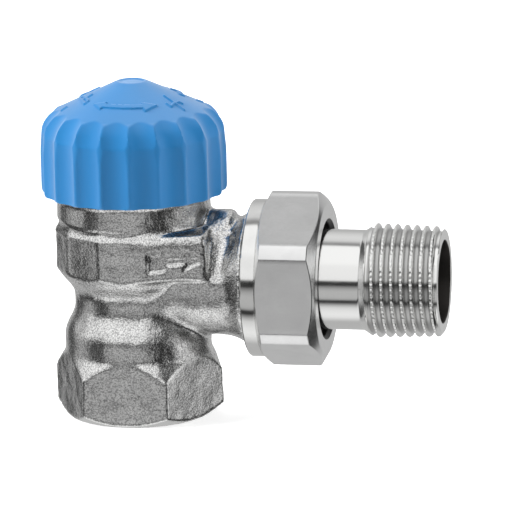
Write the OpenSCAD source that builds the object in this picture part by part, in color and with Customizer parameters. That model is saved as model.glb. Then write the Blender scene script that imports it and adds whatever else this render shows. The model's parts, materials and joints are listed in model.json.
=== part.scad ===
// Angle radiator valve, DN 15
// The frame has its origin on the inlet axis at the foot's bottom plane.
// +Z runs up the inlet axis to the cap, +X runs out along the union tail.

/* [Main sizes] */
// Inlet axis to the end of the union tail
tail_reach = 58; // [56:0.5:66]
// Foot plane to the tail's axis
axis_h = 26; // [26:0.5:30]

/* [Foot] */
// Width across flats of the inlet hexagon
foot_af = 27.5; // [27:0.1:28]
// Height of the hexagon up to its turned corners
foot_h = 8.3; // [7.5:0.1:8.5]
// Height of the turned blend above the hexagon
foot_blend_h = 4; // [3.4:0.1:4.2]
// Height of the chamfer under the hexagon
foot_chamfer_h = 1.9; // [1:0.1:2.2]
// Radius of the inlet thread's plain wall
inlet_r = 9.3; // [9:0.05:9.5]
// Depth of the inlet thread
inlet_depth = 13; // [11:0.5:13]

/* [Cast barrel] */
// Radius of the bulge above the foot
bulge_r = 13.7; // [13.4:0.1:14]
// Radius of the waist below the drum
waist_r = 11.6; // [11.4:0.1:12]
// Width across flats of the twelve sided drum
drum_af = 29; // [28.6:0.2:29.6]
// Height of the drum's flat sides
drum_h = 7; // [6.5:0.1:7.2]
// Height of the sloped ledge on the drum
ledge_h = 1.7; // [1.2:0.1:2]
// Radius of the neck under the cap
neck_r = 14.1; // [13.9:0.1:14.3]
// Length of the plain neck
neck_len = 5.75; // [5.6:0.05:6]
// Radius of the head thread's plain wall
head_thread_r = 14.95; // [14.8:0.05:15]
// Length of the head thread
head_thread_len = 6.3; // [6:0.1:6.6]

/* [Branch] */
// Radius of the cast branch
branch_r = 10.8; // [10.6:0.1:11]
// Radius where the branch flares to the union
flare_r = 12.5; // [12:0.1:12.7]
// Distance from the inlet axis to the flare's end
flare_x = 21.7; // [21.4:0.1:22]
// Radius of the union thread's plain wall
union_thread_r = 13.2; // [13.1:0.05:13.3]
// Distance from the inlet axis to the branch's end face
branch_end_x = 31.2; // [30.8:0.1:31.6]
// Distance from the inlet axis to the end of the flat panel with the arrow
panel_x = 15.4; // [15:0.1:16]
// Half width of the branch block at the panel's end
panel_y = 11; // [10.8:0.1:11.4]
// Height of the casting lug above the tail's axis
lug_h = 12.9; // [12.4:0.1:13]

/* [Waterway] */
// Radius of the seat's bore
seat_r = 6; // [5.5:0.1:6.3]
// Height of the seat's lip
seat_lip_h = 1; // [0.8:0.1:1.2]
// Depth of the seat below the tail's axis
seat_drop = 7; // [6.8:0.1:7.2]
// Radius of the valve chamber
chamber_r = 9.3; // [9.1:0.05:9.4]
// Radius of the outlet bore
outlet_r = 7.6; // [7.3:0.1:7.7]

/* [Union] */
// Width across flats of the union nut
nut_af = 29.6; // [29:0.1:30]
// Diameter to which the nut's corners are turned
nut_corner_d = 32.8; // [32.4:0.1:33.2]
// Distance from the inlet axis to the nut's skirt
nut_x = 22.2; // [22:0.1:22.4]
// Length of the nut's round skirt
skirt_len = 2.8; // [2.5:0.1:3]
// Radius of the nut's round skirt
skirt_r = 14.65; // [14.6:0.05:14.8]
// Length of the nut
nut_len = 14; // [13.6:0.1:14.4]
// Radius of the hole in the nut's end
nut_hole_r = 10.6; // [10.4:0.1:10.8]
// Radius of the tail's collar inside the nut
collar_r = 12.3; // [12:0.1:12.5]
// Thickness of the tail's collar
collar_t = 2.5; // [2.2:0.1:2.6]
// Radius of the tail's tube
tube_r = 9.3; // [9.1:0.05:9.5]
// Radius of the tail thread's plain wall
tail_thread_r = 10.35; // [10.2:0.05:10.5]
// Length of the tail's threaded end
tail_thread_len = 14.4; // [13:0.1:15]
// Radius of the tail's bore
tail_bore_r = 7.6; // [7.3:0.1:7.7]

/* [Cap] */
// Thickness of the cap's side from the head thread to the ridges
cap_side = 2.35; // [2.2:0.05:2.8]
// Height of the cap's ridged skirt
cap_skirt_h = 11.2; // [10.8:0.1:11.6]
// Height of the rounded shoulder
cap_shoulder_h = 4.3; // [4:0.1:4.6]
// Height of the cone over the shoulder
cap_cone_h = 5.3; // [4.8:0.1:5.6]
// Number of finger flutes
flutes = 20; // [18:1:22]
// Depth of a flute
flute_depth = 0.8; // [0.5:0.1:0.9]
// Wall of the cap's top
cap_wall = 1.7; // [1.5:0.1:2]

/* [Insert] */
// Radius of the insert's screw thread
insert_thread_r = 10.6; // [10.4:0.05:10.8]
// Length of the insert's screw thread
insert_thread_len = 6.8; // [6.4:0.1:7]
// Gap between the insert's hexagon corners and the socket around them
insert_room = 0.9; // [0.7:0.1:1.2]
// Height of the insert's hexagon
insert_hex_h = 5; // [4.5:0.1:5.2]
// Radius of the insert's sleeve inside the chamber
sleeve_r = 8.9; // [8.7:0.05:9]
// Length of the insert's sleeve
sleeve_len = 3.4; // [3.2:0.1:3.6]
// Radius of the spring room inside the insert
spring_room_r = 6.2; // [6:0.05:6.4]
// Radius of the round neck that holds the gland
gland_neck_r = 8.2; // [8:0.1:8.6]
// Width across flats of the gland's hexagon
gland_af = 13; // [12.5:0.5:14]
// Height of the gland's hexagon
gland_hex_h = 2.2; // [1.8:0.1:2.4]

/* [Spindle] */
// Radius of the spindle rod
spindle_r = 2; // [1.8:0.05:2.1]
// Radius of the rod's threaded lower end
spindle_end_r = 1.5; // [1.3:0.05:1.6]
// Radius of the pressure pin
pin_r = 1.75; // [1.6:0.05:1.9]
// Height of the pressure pin above the gland
pin_proud = 1.6; // [1.4:0.1:2]
// Lift of the seal above its seat
lift = 1.5; // [1.2:0.1:1.6]
// Radius of the sealing disc
seal_r = 7.6; // [7.3:0.1:7.8]
// Thickness of the sealing disc
seal_t = 2.4; // [2:0.1:2.6]
// Wire diameter of the return spring
spring_wire_d = 0.9; // [0.7:0.05:0.95]
// Mean radius of the return spring
spring_r = 4.5; // [4.2:0.1:4.7]
// Turns of the return spring
spring_turns = 5; // [4:0.5:5]

/* [Fits] */
// Radial clearance of a thread or a running fit
fit = 0.05; // [0.03:0.01:0.08]
// Gap between faces of pieces that move apart
gap = 0.15; // [0.1:0.05:0.3]

/* [Hidden] */
$fn = 96;

nickel = [0.72, 0.72, 0.73];
bright_nickel = [0.83, 0.83, 0.84];
brass = [0.78, 0.62, 0.32];
steel = [0.62, 0.63, 0.65];
rubber = [0.09, 0.09, 0.1];
cap_blue = [0.2, 0.5, 0.8];

// Heights on the inlet axis, from the foot up
bulge_z = foot_h + foot_blend_h;
bulge_top_z = axis_h - branch_r + 0.3;
waist_z = axis_h - 5;
waist_top_z = axis_h - 3;
drum_z = axis_h + 1.75;
ledge_z = drum_z + drum_h;
neck_z = ledge_z + ledge_h;
head_z = neck_z + neck_len;
head_top_z = head_z + head_thread_len;
foot_corner_r = foot_af / 2 / cos(30);
drum_corner_r = drum_af / 2 / cos(15);
drum_top_share = (neck_r - 0.1) / (drum_af / 2);

// Waterway
mouth = 0.4;
throat_h = 2.2;
seat_z = axis_h - seat_drop;
chamber_z = seat_z - seat_lip_h;
lip_w = 1.4;
insert_z = head_top_z - 7;
insert_thread_z = insert_z - insert_thread_len;
socket_wall = 2.5;
socket_r = head_thread_r - socket_wall;

// Cone seat of the union
cone_h = 2.5;
relief_len = 1.6;
flare_len = 4.2;
relief_r = union_thread_r - 1.4;
collar_x = branch_end_x + gap;
shoulder_x = collar_x + collar_t + gap;
nut_end_x = nut_x + nut_len;
nut_chamfer = 1.4;

// Insert and what it holds
insert_af = 2 * (socket_r - insert_room) * cos(30);
o_cord_r = 0.8;
sleeve_z = insert_thread_z - sleeve_len;
floor_z = sleeve_z + 3.6;
recess_w = 1.9;
recess_r = spindle_r + recess_w;
recess_z = sleeve_z + 1;
bush_h = 1;
spring_z = floor_z + bush_h + fit;
spring_h = 7.4;
cup_z = spring_z + spring_h;
cup_h = 1.2;
cup_hub_h = 1.4;
cup_hub_w = 1;
clip_t = 0.6;
clip_z = cup_z + cup_h + fit;
rod_top_z = clip_z + clip_t + 0.8;
pin_head_h = 1;
pin_head_w = 1.5;
pin_z = rod_top_z + fit;
gland_z = pin_z + pin_head_h + 0.3;
gland_thread_h = 3;
gland_groove_h = 1.3;
gland_room_z = gland_z + 0.8;
gland_room_h = 1.5;
outer_cord_r = 0.55;
inner_cord_r = 0.65;
gland_seat_z = gland_z + gland_thread_h;
gland_top_z = gland_seat_z + gland_hex_h;
pin_top_z = gland_top_z + pin_proud;
hex_top_z = insert_z + insert_hex_h;

// Disc group at the rod's lower end
seal_z = seat_z + lift + 0.1;
holder_z = seal_z + seal_t + fit;
holder_t = 1.5;
holder_lip = 0.6;
hub_r = spindle_r + 1.6;
hub_h = 2.4;
washer_t = 0.5;
washer_w = 1;
washer_z = seal_z - washer_t - fit;
disc_nut_h = 1.8;
disc_nut_z = washer_z - disc_nut_h - fit;
disc_nut_wall = 1.25;
disc_nut_af = 2 * (spindle_end_r + disc_nut_wall);

// Cap
cap_r = head_thread_r + cap_side;
cap_z = head_z;
cap_edge = 0.35;
shoulder_z = cap_z + cap_skirt_h;
shoulder_w = 3.8;
shoulder_r = cap_r - 0.3;
cone_z = shoulder_z + cap_shoulder_h;
cap_top_z = cone_z + cap_cone_h;
cap_top_r = 3;
flute_r = 4.8;
flute_floor_r = cap_r - flute_depth;
flute_tilt = 20;
arc_end = 78;
cone_foot_r = shoulder_r - shoulder_w * (1 - cos(arc_end));
cone_foot_z = shoulder_z + cap_shoulder_h * sin(arc_end);
boss_r = 4.2;
boss_z = pin_top_z + fit;

// Points that swing from p to q with an upright tangent at both
function s_curve(p, q, n = 8) =
    [for (i = [0:n]) [p[0] + (q[0] - p[0]) * (1 - cos(180 * i / n)) / 2, p[1] + (q[1] - p[1]) * i / n]];

// Points on an ellipse's arc about c, half axes a and b
function ellipse_arc(c, a, b, from, to, n = 6) =
    [for (i = [0:n]) let (t = from + (to - from) * i / n) [c[0] + a * cos(t), c[1] + b * sin(t)]];

// Height of the cap's cone at a radius
function cone_at(r) =
    cone_foot_z + (cap_top_z - 0.2 - cone_foot_z) * (cone_foot_r - r) / (cone_foot_r - cap_top_r);

// Turns a shape that is revolved about Z so that it lies along the tail's axis
module along_tail(x = 0) {
    translate([x, 0, axis_h])
        rotate([0, 90, 0])
            children();
}

module hexagon(af, h) {
    cylinder(h = h, r = af / 2 / cos(30), $fn = 6);
}

// A ring of round cord
module o_ring(mean_r, cord_r, z) {
    translate([0, 0, z])
        rotate_extrude()
            translate([mean_r, 0])
                circle(r = cord_r, $fn = 24);
}

// Cast barrel: bulge, waist and neck as one turned outline
module barrel() {
    rotate_extrude()
        polygon(concat(
            [[0, foot_h - 2], [bulge_r - 0.5, foot_h - 2], [bulge_r - 0.4, bulge_z - 0.9], [bulge_r, bulge_z]],
            s_curve([bulge_r, bulge_top_z], [waist_r, waist_z]),
            s_curve([waist_r, waist_top_z], [drum_af / 2 - 0.1, drum_z + 0.5]),
            [[drum_af / 2 - 0.1, ledge_z - 1], [neck_r, ledge_z], [neck_r, head_z - 0.6]],
            [[head_thread_r, head_z - 0.1], [head_thread_r, head_top_z - 0.7], [head_thread_r - 0.7, head_top_z]],
            [[0, head_top_z]]));
}

// Hexagon foot, its corners turned off below and blended into the barrel above
module foot() {
    intersection() {
        hexagon(foot_af, bulge_z - 0.1);
        rotate_extrude()
            polygon([[0, 0], [foot_af / 2 - 0.35, 0], [foot_corner_r + 0.1, foot_chamfer_h],
                [foot_corner_r + 0.1, foot_h], [bulge_r + 0.5, foot_h + foot_blend_h * 0.75],
                [bulge_r - 0.05, bulge_z], [0, bulge_z]]);
    }
}

// Outline of the drum with the flat panels that run on towards the branch
module drum_outline() {
    polygon(concat([for (a = [75:30:285]) drum_corner_r * [cos(a), sin(a)]],
        [[panel_x, -panel_y], [panel_x, panel_y]]));
}

module drum() {
    translate([0, 0, drum_z])
        linear_extrude(drum_h)
            drum_outline();
    translate([0, 0, ledge_z - 0.01])
        linear_extrude(ledge_h, scale = drum_top_share)
            drum_outline();
}

// Cast branch, flared towards the union, with its threaded spigot
module branch() {
    flare_h = flare_r - branch_r;
    along_tail()
        rotate_extrude()
            polygon(concat([[0, 2], [branch_r, 2]],
                [for (a = [0:15:90]) [branch_r + flare_h * (1 - cos(a)), flare_x - flare_len * (1 - a / 90)]],
                [[relief_r, flare_x + 0.1], [relief_r, flare_x + relief_len]],
                [[union_thread_r, flare_x + relief_len + 1], [union_thread_r, branch_end_x - 0.8]],
                [[union_thread_r - 0.8, branch_end_x], [0, branch_end_x]]));
}

// Rounded lug on top of the branch, beside the neck
module lug() {
    lug_r = 5.2;
    lug_end_x = 18.3;
    translate([0, 0, lug_h - lug_r])
        along_tail(8)
            rotate_extrude()
                polygon([[0, 0], [lug_r, 0], [lug_r, lug_end_x - 8], [lug_r - 0.4, lug_end_x - 7.4],
                    [lug_r - 1.2, lug_end_x - 7.1], [0, lug_end_x - 7.1]]);
}

// Inlet, throat, seat, chamber and the insert's threaded room
module upright_cavity() {
    rotate_extrude()
        polygon([[0, -1], [inlet_r + mouth + 1, -1], [inlet_r + mouth, 0], [inlet_r, mouth],
            [inlet_r, mouth + inlet_depth], [seat_r, mouth + inlet_depth + throat_h], [seat_r, seat_z],
            [seat_r + lip_w, seat_z], [seat_r + lip_w + 0.3, chamber_z], [chamber_r, chamber_z],
            [chamber_r, insert_thread_z - 0.3], [insert_thread_r, insert_thread_z],
            [insert_thread_r, insert_z], [socket_r, insert_z], [socket_r, head_top_z - 0.5],
            [socket_r + 0.5, head_top_z], [socket_r + 0.5, head_top_z + 1], [0, head_top_z + 1]]);
}

// Outlet bore with the cone seat for the tail
module outlet_cavity() {
    along_tail()
        rotate_extrude()
            polygon([[0, chamber_r - 0.8], [outlet_r, chamber_r - 0.8], [outlet_r, branch_end_x - cone_h],
                [outlet_r + 0.4, branch_end_x - cone_h], [outlet_r + 0.4 + cone_h, branch_end_x],
                [outlet_r + 0.4 + cone_h, branch_end_x + 1], [0, branch_end_x + 1]]);
}

module valve_body() {
    color(nickel)
        difference() {
            union() {
                foot();
                barrel();
                drum();
                branch();
                lug();
            }
            upright_cavity();
            outlet_cavity();
        }
}

// Blue cap: cone over a fluted skirt, with a boss that bears on the pressure pin
module protective_cap() {
    room_top_z = shoulder_z + 0.5;
    travel_z = head_top_z + lift + 0.2;
    color(cap_blue)
        difference() {
            rotate_extrude()
                polygon(concat(
                    [[head_thread_r + 0.4, cap_z], [cap_r - cap_edge, cap_z], [cap_r, cap_z + cap_edge]],
                    ellipse_arc([shoulder_r - shoulder_w, shoulder_z], shoulder_w, cap_shoulder_h, 0, arc_end),
                    [[cap_top_r, cap_top_z - 0.2], [cap_top_r - 0.4, cap_top_z]],
                    [[cap_top_r - 0.8, cap_top_z - 0.25], [0, cap_top_z - 0.25], [0, boss_z], [boss_r, boss_z]],
                    [[boss_r, cone_at(boss_r) - cap_wall], [cone_foot_r - 1.4, cone_at(cone_foot_r) - cap_wall]],
                    [[head_thread_r - 1.2, room_top_z]],
                    [[head_thread_r - 0.6, travel_z + 0.6], [head_thread_r + fit, travel_z],
                        [head_thread_r + fit, cap_z + 0.4]]));
            for (i = [0:flutes - 1])
                rotate(360 / flutes * i) {
                    translate([flute_floor_r + flute_r, 0, cap_z - 1])
                        cylinder(h = cap_skirt_h + 1.35, r = flute_r);
                    translate([flute_floor_r, 0, shoulder_z])
                        rotate([0, -flute_tilt, 0])
                            translate([flute_r, 0, -2.5])
                                cylinder(h = 9, r = flute_r);
                }
        }
}

// Union nut: round skirt, hexagon with turned corners, shoulder that draws the collar
module union_nut() {
    corner_r = nut_corner_d / 2;
    hex_x = skirt_len;
    color(nickel)
        difference() {
            along_tail(nut_x)
                intersection() {
                    union() {
                        cylinder(h = hex_x + 1, r = skirt_r);
                        translate([0, 0, hex_x])
                            hexagon(nut_af, nut_len - hex_x);
                    }
                    rotate_extrude()
                        polygon([[0, 0], [skirt_r - 0.3, 0], [skirt_r, 0.3], [skirt_r, hex_x - 0.1],
                            [corner_r, hex_x + 0.8], [corner_r, nut_len - nut_chamfer],
                            [corner_r - nut_chamfer * 1.7, nut_len], [0, nut_len]]);
                }
            along_tail()
                rotate_extrude()
                    polygon([[0, nut_x - 1], [union_thread_r + fit + 0.6, nut_x - 1],
                        [union_thread_r + fit + 0.6, nut_x], [union_thread_r + fit, nut_x + 0.6],
                        [union_thread_r + fit, collar_x], [collar_r + 0.3, collar_x],
                        [collar_r + 0.3, shoulder_x], [nut_hole_r, shoulder_x],
                        [nut_hole_r, nut_end_x - 0.5], [nut_hole_r + 0.5, nut_end_x],
                        [nut_hole_r + 0.5, nut_end_x + 1], [0, nut_end_x + 1]]);
        }
}

// Tail: cone and collar held by the nut, tube, and the threaded end
module union_tail() {
    cone_r = outlet_r + 0.4;
    thread_x = tail_reach - tail_thread_len;
    cone_x = branch_end_x - cone_h + gap;
    color(bright_nickel)
        along_tail()
            rotate_extrude()
                polygon([[tail_bore_r, cone_x + 0.2], [cone_r - 0.2, cone_x + 0.2],
                    [cone_r + cone_h - 0.2, branch_end_x + gap], [collar_r - 0.3, branch_end_x + gap],
                    [collar_r, branch_end_x + gap + 0.3], [collar_r, collar_x + collar_t],
                    [tube_r, collar_x + collar_t], [tube_r, thread_x], [tail_thread_r - 0.35, thread_x + 0.5],
                    [tail_thread_r - 0.35, thread_x + 0.8], [tail_thread_r, thread_x + 1.2],
                    [tail_thread_r, tail_reach - 1.2], [tail_thread_r - 0.85, tail_reach],
                    [tail_bore_r + 0.2, tail_reach], [tail_bore_r, tail_reach - 0.2]]);
}

// Brass insert that screws into the neck: sleeve, thread, hexagon and gland neck
module insert_housing() {
    thread_r = insert_thread_r - fit;
    color(brass)
        difference() {
            union() {
                rotate_extrude()
                    polygon([[0, sleeve_z], [sleeve_r, sleeve_z], [sleeve_r, sleeve_z + 0.7],
                        [sleeve_r - 1.5, sleeve_z + 0.7], [sleeve_r - 1.5, sleeve_z + 2.7],
                        [sleeve_r, sleeve_z + 2.7], [sleeve_r, insert_thread_z + 0.3],
                        [thread_r, insert_thread_z + 1], [thread_r, insert_z + 0.3], [0, insert_z + 0.3]]);
                translate([0, 0, insert_z + fit])
                    intersection() {
                        hexagon(insert_af, insert_hex_h - fit);
                        cylinder(h = insert_hex_h, r1 = insert_af / 2 + 3.4, r2 = insert_af / 2 + 0.3);
                    }
                translate([0, 0, hex_top_z - 1])
                    cylinder(h = gland_seat_z - hex_top_z + 1, r = gland_neck_r);
            }
            translate([0, 0, floor_z])
                cylinder(h = gland_seat_z - floor_z + 1, r = spring_room_r);
            translate([0, 0, recess_z])
                cylinder(h = floor_z - recess_z + 1, r = recess_r);
            translate([0, 0, sleeve_z - 1])
                cylinder(h = recess_z - sleeve_z + 2, r = spindle_r + 0.4);
        }
}

module housing_o_ring() {
    color(rubber)
        o_ring(sleeve_r - 1.5 + fit + o_cord_r, o_cord_r, sleeve_z + 1.7);
}

// Flanged bush that guides the rod and closes the O ring's room
module guide_bush() {
    color(brass)
        difference() {
            union() {
                translate([0, 0, floor_z + fit])
                    cylinder(h = bush_h - fit, r = spring_room_r - 0.3);
                translate([0, 0, floor_z - 0.6])
                    cylinder(h = 1, r = recess_r - fit);
            }
            translate([0, 0, floor_z - 2])
                cylinder(h = bush_h + 4, r = spindle_r + fit);
        }
}

module stem_o_ring() {
    cord_r = (recess_r - spindle_r) / 2 - fit - 0.05;
    color(rubber)
        o_ring(spindle_r + 0.05 + fit + cord_r, cord_r, recess_z + fit + cord_r);
}

// Coil spring as a round wire swept along a helix
module return_spring() {
    sides = 8;
    steps = 20 * spring_turns;
    wire_r = spring_wire_d / 2;
    rise = spring_h - spring_wire_d - 0.1;
    z0 = spring_z + wire_r + 0.05;
    points = [for (i = [0:steps]) let (a = 360 * spring_turns * i / steps)
        for (j = [0:sides - 1]) let (b = 360 * j / sides, r = spring_r + wire_r * cos(b))
            [r * cos(a), r * sin(a), z0 + rise * i / steps + wire_r * sin(b)]];
    walls = [for (i = [0:steps - 1]) for (j = [0:sides - 1]) let (k = (j + 1) % sides)
        [i * sides + j, (i + 1) * sides + j, (i + 1) * sides + k, i * sides + k]];
    first = [for (j = [0:sides - 1]) j];
    last = [for (j = [0:sides - 1]) (steps + 1) * sides - 1 - j];
    color(steel)
        polyhedron(points, concat(walls, [first, last]));
}

// Gland that holds the pin's seal under the cap
module gland_nut() {
    thread_r = spring_room_r - fit;
    groove_r = thread_r - 2 * outer_cord_r - 0.1;
    color(brass)
        difference() {
            union() {
                rotate_extrude()
                    polygon([[0, gland_z], [thread_r, gland_z], [thread_r, gland_seat_z - gland_groove_h],
                        [groove_r, gland_seat_z - gland_groove_h], [groove_r, gland_seat_z + 0.3],
                        [0, gland_seat_z + 0.3]]);
                translate([0, 0, gland_seat_z + fit])
                    intersection() {
                        hexagon(gland_af, gland_hex_h - fit);
                        cylinder(h = gland_hex_h, r1 = gland_af / 2 + 1.8, r2 = gland_af / 2 + 0.2);
                    }
            }
            translate([0, 0, gland_z - 1])
                cylinder(h = gland_top_z - gland_z + 2, r = pin_r + fit);
            translate([0, 0, gland_room_z])
                cylinder(h = gland_room_h, r = pin_r + 2 * inner_cord_r + 0.2);
        }
}

module gland_o_ring_outer() {
    color(rubber)
        o_ring(spring_room_r - fit - outer_cord_r, outer_cord_r, gland_seat_z - gland_groove_h / 2);
}

module gland_o_ring_inner() {
    color(rubber)
        o_ring(pin_r + 0.1 + inner_cord_r, inner_cord_r, gland_room_z + gland_room_h / 2);
}

// Rod from the disc up through the insert
module spindle_rod() {
    color(steel)
        rotate_extrude()
            polygon([[0, disc_nut_z - 0.6], [spindle_end_r - 0.3, disc_nut_z - 0.6],
                [spindle_end_r, disc_nut_z - 0.3], [spindle_end_r, holder_z + holder_t - fit],
                [spindle_r, holder_z + holder_t - fit], [spindle_r, clip_z],
                [spindle_r - 0.5, clip_z], [spindle_r - 0.5, clip_z + clip_t + fit],
                [spindle_r, clip_z + clip_t + fit], [spindle_r, rod_top_z - 0.2],
                [spindle_r - 0.2, rod_top_z], [0, rod_top_z]]);
}

// Cup that passes the spring's force to the rod
module spring_cup() {
    color(brass)
        rotate_extrude()
            polygon([[spindle_r + fit, cup_z - cup_hub_h], [spindle_r + cup_hub_w, cup_z - cup_hub_h],
                [spindle_r + cup_hub_w, cup_z + fit],
                [spring_room_r - 0.3, cup_z + fit], [spring_room_r - 0.3, cup_z + cup_h - 0.2],
                [spring_room_r - 0.5, cup_z + cup_h], [spindle_r + fit, cup_z + cup_h]]);
}

// Open ring that snaps into the rod's groove over the cup
module retaining_ring() {
    open_a = 70;
    color(steel)
        translate([0, 0, clip_z])
            rotate([0, 0, open_a / 2])
                rotate_extrude(angle = 360 - open_a)
                    translate([spindle_r - 0.5 + fit, fit])
                        square([1.7, clip_t - fit]);
}

// Pin that the cap, or a thermostatic head, presses down
module pressure_pin() {
    color(steel)
        rotate_extrude()
            polygon([[0, pin_z], [pin_r + pin_head_w, pin_z], [pin_r + pin_head_w, pin_z + pin_head_h],
                [pin_r, pin_z + pin_head_h], [pin_r, pin_top_z - 0.4],
                [pin_r - 0.4, pin_top_z], [0, pin_top_z]]);
}

// Brass dish that carries the sealing disc
module disc_holder() {
    color(brass)
        rotate_extrude()
            polygon([[spindle_end_r + fit, holder_z], [seal_r + fit, holder_z], [seal_r + fit, seal_z + 1],
                [seal_r + holder_lip, seal_z + 1], [seal_r + holder_lip, holder_z + holder_t - 0.4],
                [seal_r + holder_lip - 0.4, holder_z + holder_t], [hub_r, holder_z + holder_t],
                [hub_r, holder_z + holder_t + hub_h], [spindle_r + fit, holder_z + holder_t + hub_h],
                [spindle_r + fit, holder_z + holder_t - 2 * fit],
                [spindle_end_r + fit, holder_z + holder_t - 2 * fit]]);
}

module disc_seal() {
    color(rubber)
        translate([0, 0, seal_z])
            difference() {
                cylinder(h = seal_t, r = seal_r);
                translate([0, 0, -1])
                    cylinder(h = seal_t + 2, r = spindle_end_r + fit);
            }
}

module disc_washer() {
    color(steel)
        translate([0, 0, washer_z])
            difference() {
                cylinder(h = washer_t, r = disc_nut_af / 2 + washer_w);
                translate([0, 0, -1])
                    cylinder(h = washer_t + 2, r = spindle_end_r + fit);
            }
}

module disc_nut() {
    color(brass)
        translate([0, 0, disc_nut_z])
            difference() {
                hexagon(disc_nut_af, disc_nut_h);
                translate([0, 0, -1])
                    cylinder(h = disc_nut_h + 2, r = spindle_end_r + fit);
            }
}

valve_body();
protective_cap();
union_nut();
union_tail();
insert_housing();
housing_o_ring();
guide_bush();
stem_o_ring();
return_spring();
gland_nut();
gland_o_ring_outer();
gland_o_ring_inner();
spindle_rod();
spring_cup();
retaining_ring();
pressure_pin();
disc_holder();
disc_seal();
disc_washer();
disc_nut();
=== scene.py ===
"""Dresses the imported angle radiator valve: casting, cap, union and studio.

Shapes are worked out in millimetres, settings and meshes are in metres. The
origin is in the foot's underside, z runs up to the cap and x along the tail.
"""

import json

import bmesh
import bpy
import numpy as np
from bpy.props import FloatProperty, FloatVectorProperty, IntProperty, PointerProperty
from mathutils import Matrix, Vector


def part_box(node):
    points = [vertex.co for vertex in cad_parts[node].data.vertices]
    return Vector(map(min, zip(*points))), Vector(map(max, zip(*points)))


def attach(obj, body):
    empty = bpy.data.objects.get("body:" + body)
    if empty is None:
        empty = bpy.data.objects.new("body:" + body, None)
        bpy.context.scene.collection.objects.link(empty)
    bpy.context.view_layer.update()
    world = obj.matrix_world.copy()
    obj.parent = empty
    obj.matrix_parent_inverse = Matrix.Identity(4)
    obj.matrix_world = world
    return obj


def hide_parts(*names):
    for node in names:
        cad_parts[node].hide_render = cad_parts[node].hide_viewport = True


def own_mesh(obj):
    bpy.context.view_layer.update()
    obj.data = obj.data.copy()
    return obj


bl_info = {
    "name": "Angle Radiator Valve",
    "version": (1, 0, 0),
    "blender": (4, 5, 0),
    "location": "View3D > Sidebar > Valve",
    "description": "Builds the visible pieces of an angle radiator valve around its packed solids",
    "category": "Object",
}

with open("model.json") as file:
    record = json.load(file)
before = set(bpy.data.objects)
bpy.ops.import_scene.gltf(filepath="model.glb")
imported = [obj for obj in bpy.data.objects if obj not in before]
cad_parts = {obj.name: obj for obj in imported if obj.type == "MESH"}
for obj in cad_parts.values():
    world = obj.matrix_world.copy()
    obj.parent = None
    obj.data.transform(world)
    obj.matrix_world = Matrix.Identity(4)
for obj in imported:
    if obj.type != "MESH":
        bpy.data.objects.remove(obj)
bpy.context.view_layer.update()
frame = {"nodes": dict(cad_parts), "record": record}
MM = 0.001
TAIL_HEIGHT = 26.0
TURN = 2 * np.pi


def millimetres(value):
    """A length property in millimetres."""
    return value / MM


# sizes and colours


class CastingSettings(bpy.types.PropertyGroup):
    skin_grid: FloatProperty(
        name="Skin grid", description="Spacing of the casting's surface grid",
        default=0.000385, min=0.0003, max=0.001, subtype="DISTANCE", unit="LENGTH")
    edge_rounds: IntProperty(
        name="Edge rounding", description="Rounds of smoothing that soften the cast edges",
        default=7, min=0, max=20)
    lump_height: FloatProperty(
        name="Lump height", description="Height of the sand mould's unevenness",
        default=0.00008, min=0.0, max=0.0003, subtype="DISTANCE", unit="LENGTH")
    arrow_depth: FloatProperty(
        name="Arrow depth", description="Depth of the sunk flow arrow",
        default=0.0004, min=0.0, max=0.001, subtype="DISTANCE", unit="LENGTH")
    metal_dark: FloatVectorProperty(
        name="Dark grain", description="Colour in the grain's hollows",
        default=(0.44, 0.44, 0.44), min=0.0, max=1.0, subtype="COLOR")
    metal_light: FloatVectorProperty(
        name="Light grain", description="Colour of the grain's tops",
        default=(0.93, 0.93, 0.92), min=0.0, max=1.0, subtype="COLOR")


class CapSettings(bpy.types.PropertyGroup):
    flutes: IntProperty(
        name="Flutes", description="Number of finger flutes", default=20, min=12, max=30)
    flute_radius: FloatProperty(
        name="Flute radius", description="Radius of the round cutter that shapes a flute",
        default=0.0052, min=0.003, max=0.008, subtype="DISTANCE", unit="LENGTH")
    floor_radius: FloatProperty(
        name="Floor radius", description="Distance of a flute's floor from the cap's axis",
        default=0.01645, min=0.015, max=0.017, subtype="DISTANCE", unit="LENGTH")
    mark_height: FloatProperty(
        name="Mark height", description="Height of the raised marks on the cone",
        default=0.0003, min=0.0, max=0.001, subtype="DISTANCE", unit="LENGTH")
    plastic: FloatVectorProperty(
        name="Plastic", description="Colour of the moulded plastic",
        default=(0.0, 0.187, 0.485), min=0.0, max=1.0, subtype="COLOR")


class UnionSettings(bpy.types.PropertyGroup):
    pitch: FloatProperty(
        name="Pitch", description="Pitch of the pipe threads",
        default=0.001814, min=0.001, max=0.003, subtype="DISTANCE", unit="LENGTH")
    thread_depth: FloatProperty(
        name="Thread depth", description="Depth of the tail's thread",
        default=0.00092, min=0.0005, max=0.0015, subtype="DISTANCE", unit="LENGTH")
    notches: IntProperty(
        name="Notches", description="Notches on each turn of the tail's thread",
        default=68, min=20, max=100)
    satin: FloatVectorProperty(
        name="Satin nickel", description="Colour of the milled nickel plate",
        default=(0.90, 0.90, 0.90), min=0.0, max=1.0, subtype="COLOR")
    bright: FloatVectorProperty(
        name="Bright nickel", description="Colour of the turned nickel plate",
        default=(0.86, 0.86, 0.85), min=0.0, max=1.0, subtype="COLOR")


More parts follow.
